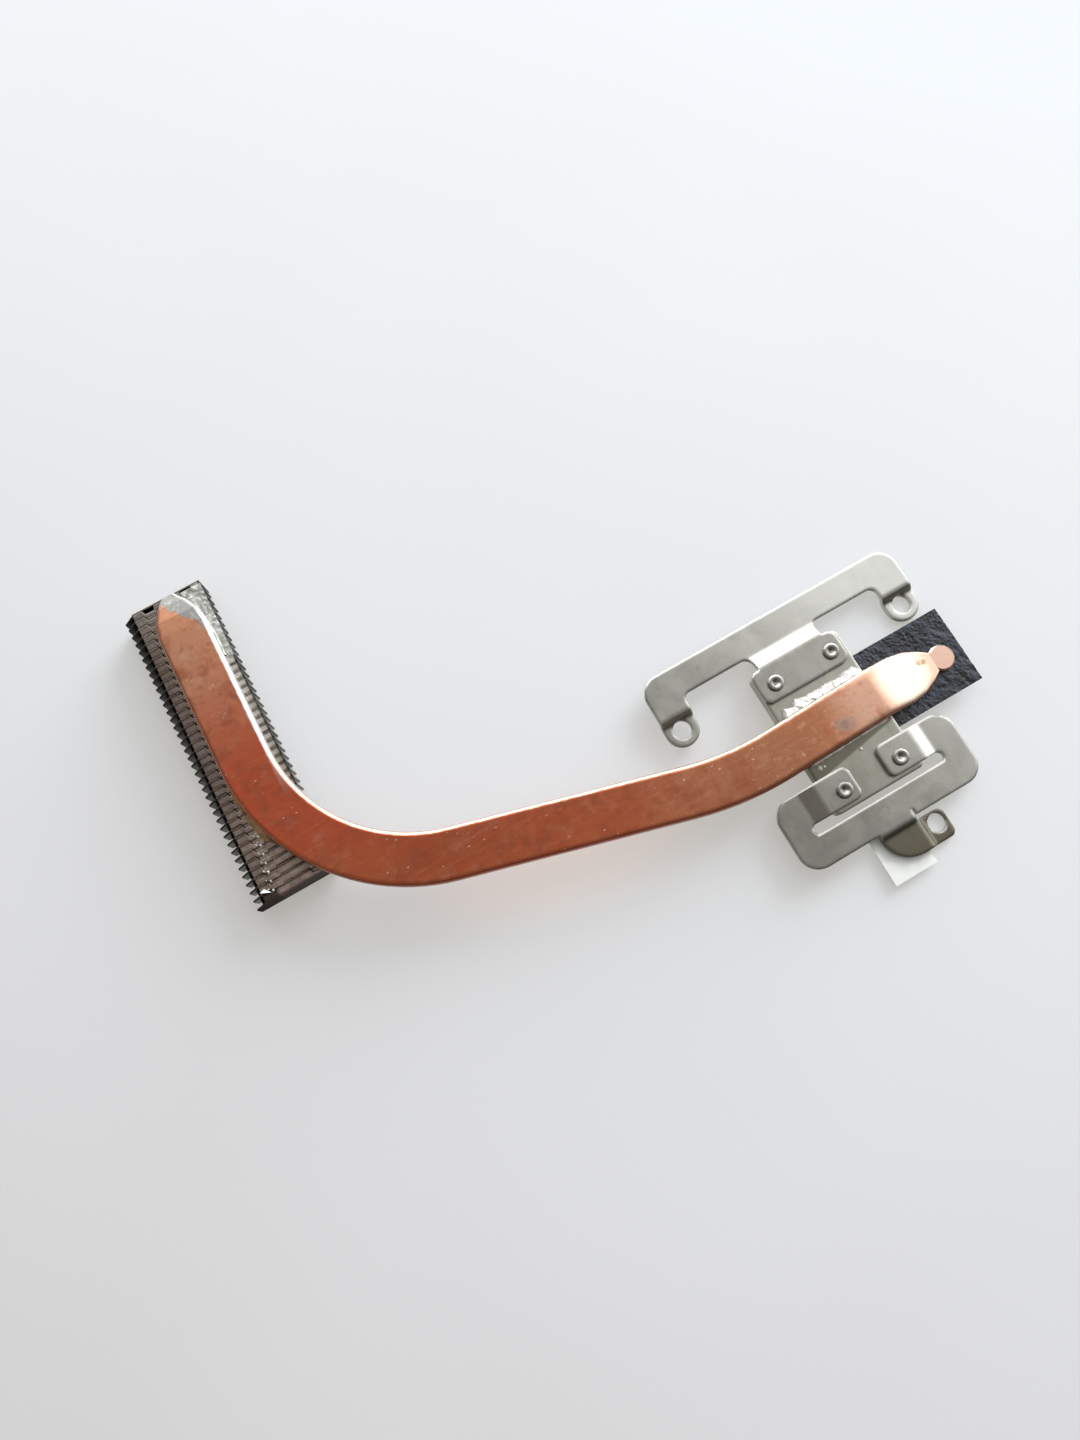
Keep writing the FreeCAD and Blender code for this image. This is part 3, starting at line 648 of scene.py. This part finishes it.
def floor_finish():
    """A pale floor, a little brighter towards the window, that keeps a soft shadow."""
    finish = Finish("floor", Roughness=0.7, Specular_IOR_Level=0.1)
    cloud = finish.band(finish.noise(0.015, 2), 0.2, 0.8, -8, 8)
    along = finish.math("ADD", finish.measure("DOT_PRODUCT", finish.place, FLOOR_WAY), cloud)
    along = finish.band(along, *FLOOR_REACH, way="LINEAR")
    tone = finish.mix(along, rgb(208, 207, 208), rgb(243, 247, 250))
    # Painted pool of warm light from the copper on the floor beside the pipe
    line = (WARM_AT, (0, 0, math.radians(WARM_TURN)), (*WARM_REACH, 1))
    beside = finish.node("ShaderNodeMapping", finish.place, *line, vector_type="TEXTURE")
    beside = finish.band(finish.measure("LENGTH", beside.outputs[0]), 1.0, 0.2)
    warmth = finish.mix_vectors(beside, (1.0, 1.0, 1.0), WARM_TINT)
    tone = finish.vector("MULTIPLY", tone, warmth)
    finish.paint("Base Color", finish.vector("MULTIPLY", tone, FLOOR_TINT))

    ray = finish.node("ShaderNodeLightPath").outputs
    seen = finish.math("ADD", ray["Is Camera Ray"], ray["Is Glossy Ray"])
    seen = finish.math("ADD", seen, ray["Is Transmission Ray"])
    glow = finish.node("ShaderNodeEmission", finish.vector("MULTIPLY", tone, FLOOR_GLOW_TINT))
    share = finish.times(seen, FLOOR_GLOW)
    blend = finish.node("ShaderNodeMixShader", share, finish.shader.outputs[0], glow.outputs[0])
    finish.feed(blend.outputs[0], finish.tree.nodes["Material Output"].inputs["Surface"])
    return finish.material


def dress(names, material, smooth=40):
    """Give CAD nodes a material and even shading."""
    for name in names:
        mesh = nodes[name].data
        mesh.materials.clear()
        mesh.materials.append(material)
        mesh.shade_smooth()
        mesh.set_sharp_from_angle(angle=math.radians(smooth))


def add_mesh(name, points, faces, material, slot, stands_for=()):
    """A piece of the part made here, from points in millimetres."""
    mesh = bpy.data.meshes.new(name)
    mesh.from_pydata([Vector(p) * MM for p in points], [], faces)
    mesh.update()
    mesh.shade_smooth()
    mesh.materials.append(material)
    piece = bpy.data.objects.new(name, mesh)
    bpy.context.scene.collection.objects.link(piece)
    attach(piece, "root")
    if stands_for:
        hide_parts(*stands_for)


def grid_faces(rows, columns, start=0):
    """Faces between points that lie in rows and columns."""
    faces = []
    for r in range(rows - 1):
        for c in range(columns - 1):
            a = start + r * columns + c
            faces.append((a, a + 1, a + columns + 1, a + columns))
    return faces


def above_plate(points, faces):
    """The faces that come out above the plate's top, or the fins'."""
    return [face for face in faces if max(points[i][2] for i in face) > PLATE_TOP]


def uneven(*place):
    """A value that wanders about zero from place to place, the same each run."""
    return noise.fractal(Vector(place), 0.8, 2.1, 5)


def pipe_left(y):
    """Where the left side of the pipe's straight end lies."""
    return PIPE_LEFT + PIPE_LEAN * (y - PIPE_LEFT_Y)


def bank(left, right, way, reach, height, seed):
    """A ragged bank of solder that leans on one side of the pipe on the plate."""
    rows = 240
    columns = 46
    points = []
    for r in range(rows):
        x = left + (right - left) * r / (rows - 1)
        side = PIPE_TAIL[1] + PIPE_SLOPE * (x - PIPE_TAIL[0]) + way * (PIPE_HALF - BANK_UNDER)
        ends = min(1.0, 0.2 + min(x - left, right - x) / BANK_TAPER)
        ragged = 1.0 + 0.3 * uneven(x * 0.6, seed, 0) + 0.1 * uneven(x * 1.5, seed, 3)
        wide = reach * ends * ragged
        for c in range(columns):
            out = 1.7 * reach * c / (columns - 1)
            lean = max(0.0, 1 - out / max(wide, 0.1))
            lumps = 0.9 + 0.2 * uneven(x * 1.1, out * 1.4, seed)
            rough = 0.05 * uneven(x * 3.5, out * 3.5, seed)
            rise = height * lean ** 0.6 * lumps + rough * min(1.0, lean * 4)
            points.append((x, side + way * out, PLATE_TOP + max(rise, 0.0) - SINK))
    return points, above_plate(points, grid_faces(rows, columns))


def drop(centre, radius):
    """A flattened bead of solder at the level of the plate's top, which is the fins' top too."""
    rings = 8
    around = 14
    points = []
    for r in range(rings):
        tilt = math.pi / 2 * r / (rings - 1)
        for a in range(around):
            turn = 2 * math.pi * a / (around - 1)
            right, up = math.cos(turn), math.sin(turn)
            lump = 1 + 0.25 * uneven(centre[0] + right, centre[1] + up, tilt)
            flat = radius * lump * math.cos(tilt)
            rise = DROP_FLAT * radius * lump * math.sin(tilt)
            points.append((centre[0] + flat * right, centre[1] + flat * up, PLATE_TOP + rise))
    return points, grid_faces(rings, around)


def glint():
    """A bent corner of the first fin, as a thin wedge that tilts towards the window."""
    top = []
    ends = ((-1, -0.4), (1, -1), (-0.2, 1))
    for along, across in ((GLINT_LONG * a, GLINT_WIDE * b) for a, b in ends):
        right = GLINT_WAY[0] * along - GLINT_WAY[1] * across
        up = GLINT_WAY[1] * along + GLINT_WAY[0] * across
        rise = GLINT_RISE + GLINT_TILT[0] * right + GLINT_TILT[1] * up
        top.append((GLINT_AT[0] + right, GLINT_AT[1] + up, PLATE_TOP + rise))
    low = [(x, y, PLATE_TOP - SINK) for x, y, _ in top]
    sides = [(4, 3, 6, 7), (5, 4, 7, 8), (3, 5, 8, 6)]
    return top + top + low, [(0, 1, 2), (8, 7, 6)] + sides


def join(parts):
    """The points and faces of several shapes as those of one."""
    points = []
    faces = []
    for more, cells in parts:
        faces += [tuple(i + len(points) for i in cell) for cell in cells]
        points += more
    return points, faces


def add_solder():
    """Ragged solder along both sides of the pipe on the plate, with drops below it."""
    low, high = [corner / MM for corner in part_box("plate_solder")]
    left, right = low.x + BANK_SHIFT[0], high.x + BANK_SHIFT[1]
    parts = [
        bank(left, right, way=1, reach=1.2, height=1.6, seed=3.0),
        bank(low.x, high.x, way=-1, reach=0.35, height=0.6, seed=9.0),
    ]
    parts += [drop(*place) for place in PLATE_DROPS]
    finish = solder_finish("solder", rgb(196, 194, 188), rgb(250, 250, 248), 0.2)
    add_mesh("solder_crust", *join(parts), finish, "solder", ["plate_solder"])


def rim():
    """A bead of solder along the edge of the pipe's closed end."""
    steps = 120
    around = 12
    points = []
    for step in range(steps):
        spot = step / (steps - 1) * (len(RIM_ROUTE) - 1)
        leg = min(int(spot), len(RIM_ROUTE) - 2)
        start, end = Vector(RIM_ROUTE[leg]), Vector(RIM_ROUTE[leg + 1])
        centre = start.lerp(end, spot - leg)
        along = (end - start).normalized()
        size = RIM_R + 0.08 * uneven(spot * 1.5, 4, 2) - 0.16 * max(0.0, step / steps - 0.6)
        for a in range(around):
            turn = 2 * math.pi * a / (around - 1)
            off = size * math.cos(turn)
            height = RIM_Z + size * math.sin(turn)
            points.append((centre.x + along.y * off, centre.y - along.x * off, height))
    return points, grid_faces(steps, around)


def add_wash():
    """Solder that has run over the fins beside the pipe's closed end and filled their gaps."""
    rows = 160
    columns = 24
    points = []
    for r in range(rows):
        y = WASH_Y[0] + (WASH_Y[1] - WASH_Y[0]) * r / (rows - 1)
        left = pipe_left(y) + 2 * PIPE_HALF - WASH_UNDER - max(0.0, y - WASH_ROUND_Y) * 0.5
        right = FLANGE_RIGHT - WASH_SHORT + PIPE_LEAN * (y - STACK_START)
        thick = (y - WASH_THICK_Y + 2.5 * uneven(y * 0.6, 1, 2)) / 3
        thick = min(1.0, max(0.0, thick))
        for c in range(columns):
            x = left + (right - left) * c / (columns - 1)
            rise = (WASH_T + SINK + 0.05 * uneven(x * 1.5, y * 1.5, 6)) * thick
            points.append((x, y, PLATE_TOP + rise - SINK))
    cells = above_plate(points, grid_faces(rows, columns))
    finish = solder_finish("wash", rgb(164, 164, 159), rgb(216, 216, 211), 0.9)
    add_mesh("solder_wash", *join([(points, cells), rim()]), finish, "solder")


def add_film():
    """The black film, creased where it was pulled off its glue."""
    low, high = [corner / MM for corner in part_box("black_film")]
    rows = 150
    columns = 130
    points = []
    for thickness in (0.0, high.z - low.z):
        for r in range(rows):
            x = low.x + (high.x - low.x) * r / (rows - 1)
            for c in range(columns):
                y = low.y + (high.y - low.y) * c / (columns - 1)
                crease = 0.6 * abs(uneven(x * 0.7 + 0.4 * y, y * 0.5, 4))
                crease += 0.5 * abs(uneven(x * 2.2, y * 1.8, 8))
                points.append((x, y, high.z - CREASE_DEPTH * min(crease, 0.9) - thickness))
    under = rows * columns
    faces = grid_faces(rows, columns)
    faces += [face[::-1] for face in grid_faces(rows, columns, under)]
    ring = [r * columns for r in range(rows)]
    ring += [(rows - 1) * columns + c for c in range(1, columns)]
    ring += [r * columns + columns - 1 for r in range(rows - 2, -1, -1)]
    ring += list(range(columns - 2, 0, -1))
    faces += [(a, b, b + under, a + under) for a, b in zip(ring, ring[1:] + ring[:1])]
    add_mesh("creased_film", points, faces, black_film_finish(), "black_film", ["black_film"])


def flux_route():
    """Places along the pipe's outer side, round the bend and up the straight end, with ways out."""
    bend_steps = 120
    straight_steps = 220
    route = []
    for step in range(bend_steps):
        turn = math.radians(FLUX_TURN * (1 - step / (bend_steps - 1)))
        way = Vector((-math.cos(turn), -math.sin(turn), 0))
        route.append((Vector((*BEND_AT, 0)) + way * BEND_R, way))
    for step in range(straight_steps):
        y = BEND_AT[1] + (FLUX_END - BEND_AT[1]) * (step + 1) / straight_steps
        route.append((Vector((pipe_left(y), y, 0)), Vector((-1, PIPE_LEAN, 0))))
    return route


def add_flux():
    """A bead of dried flux along the pipe's outer side, where it is soldered to the fins."""
    columns = 9
    route = flux_route()
    points = []
    for step, (spot, way) in enumerate(route):
        near = max(0.0, 1 - abs(step - FLUX_WIDEST) / FLUX_NARROWS)
        ragged = 0.3 * uneven(step * 0.05, 2, 0) + 0.12 * uneven(step * 0.25, 5, 0)
        wide = max(FLUX_LEAST, FLUX_WIDE + FLUX_WIDER * near + ragged)
        ends = min(1.0, step / FLUX_TAPER, (len(route) - 1 - step) / FLUX_TAPER)
        for c in range(columns):
            share = c / (columns - 1)
            height = PLATE_TOP + FLUX_H * ends * (1 - share) ** 1.5 - SINK * share
            out = (wide * ends + FLUX_UNDER) * share - FLUX_UNDER
            points.append((*(spot + way * out).xy, height))
    add_mesh("flux_bead", points, grid_faces(len(route), columns), flux_finish(), "solder")


def add_beads():
    """Bright beads of solder that sit on the clips of the first fins, and a bent corner."""
    beads = []
    for step in range(BEADS):
        y = STACK_START + FIN_PITCH * (step + BEAD_SHARE)
        x = BEAD_AT[0] + BEAD_DRIFT * (y - BEAD_AT[1])
        size = BEAD_R + 0.05 * uneven(step * 1.7, 3, 1) - 0.004 * step
        beads.append(drop((x, y), size))
        beads.append(drop((x + SECOND_BEAD[0], y + SECOND_BEAD[1]), SECOND_SHARE * size))
    beads.append(glint())
    finish = solder_finish("bead", rgb(224, 222, 216), rgb(250, 250, 248), 0.9)
    add_mesh("solder_beads", *join(beads), finish, "solder")


def add_floor():
    side = FLOOR_SIDE * MM / 2
    mesh = bpy.data.meshes.new("floor")
    corners = [(-side, -side, 0), (side, -side, 0), (side, side, 0), (-side, side, 0)]
    mesh.from_pydata(corners, [], [(0, 1, 2, 3)])
    floor = bpy.data.objects.new("floor", mesh)
    bpy.context.scene.collection.objects.link(floor)
    floor.location = Vector(FLOOR_AT) * MM
    floor.rotation_euler = (0, -math.radians(FLOOR_SLOPE), 0)
    mesh.materials.append(floor_finish())


def add_camera():
    data = bpy.data.cameras.new("camera")
    data.lens = CAMERA_LENS
    data.sensor_width = CAMERA_SENSOR
    data.clip_start = CAMERA_CLIP * MM
    camera = bpy.data.objects.new("camera", data)
    bpy.context.scene.collection.objects.link(camera)
    camera.location = Vector(CAMERA_AT) * MM
    camera.rotation_euler = Euler([math.radians(a) for a in CAMERA_TURN], "XYZ")
    bpy.context.scene.camera = camera


def add_room():
    """A grey room that brightens towards one wide window, with a bright pane low beside it."""
    world = bpy.data.worlds.new("room")
    bpy.context.scene.world = world
    world.use_nodes = True
    sky = Nodes(world.node_tree)
    way = sky.node("ShaderNodeTexCoord").outputs["Generated"]

    def ahead_of(azimuth):
        turn = math.radians(azimuth)
        return sky.measure("DOT_PRODUCT", way, (math.cos(turn), math.sin(turn), 0))

    ahead = sky.math("MULTIPLY_ADD", ahead_of(WINDOW_AZIMUTH), 0.5, 0.5)
    ramp = sky.node("ShaderNodeValToRGB", ahead)
    stops = ramp.color_ramp.elements
    while len(stops) < len(ROOM_LEVELS):
        stops.new(0.5)
    for stop, (share, bright) in zip(stops, ROOM_LEVELS):
        warm = ROOM_WARMTH if share < 0 else 0.0
        stop.position = share * 0.5 + 0.5
        stop.color = (bright, bright * (1 - warm), bright * (1 - 2 * warm), 1)

    height = sky.split(way)[2]
    pane = sky.times(sky.band(ahead_of(PANE_AZIMUTH), *PANE_SIDES), sky.band(height, *PANE_FOOT))
    pane = sky.times(pane, sky.band(height, *PANE_HEAD))
    light = sky.mix(pane, ramp.outputs[0], (PANE_LEVEL, PANE_LEVEL, PANE_LEVEL, 1))
    sky.feed(light, sky.tree.nodes["Background"].inputs["Color"])


def add_lamp():
    """A soft lamp that isn't mirrored by the metal."""
    data = bpy.data.lights.new("lamp", "SUN")
    data.energy = LAMP_LEVEL
    data.angle = math.radians(LAMP_SPREAD)
    lamp = bpy.data.objects.new("lamp", data)
    bpy.context.scene.collection.objects.link(lamp)
    lamp.rotation_euler = (0, math.radians(90 - LAMP_HEIGHT), math.radians(LAMP_AZIMUTH))
    lamp.visible_glossy = False


steel = steel_finish("bracket", rgb(158, 157, 149), rgb(181, 180, 172), tab_shade=0.9)
dress(["heat_pipe"], copper_finish(), smooth=35)
dress(["upper_bracket", "lower_bracket"], steel)
dress(["cold_plate"], steel_finish("plate", rgb(163, 162, 150), rgb(175, 174, 163)))
dress(["rivets"], steel_finish("rivet", rgb(138, 136, 128), rgb(156, 154, 147)))
dress(["white_film"], white_film_finish())
dress(fins, fin_finish())
add_solder()
add_wash()
add_film()
add_flux()
add_beads()

add_floor()
add_camera()
add_room()
add_lamp()
bpy.context.scene.view_settings.view_transform = "Standard"
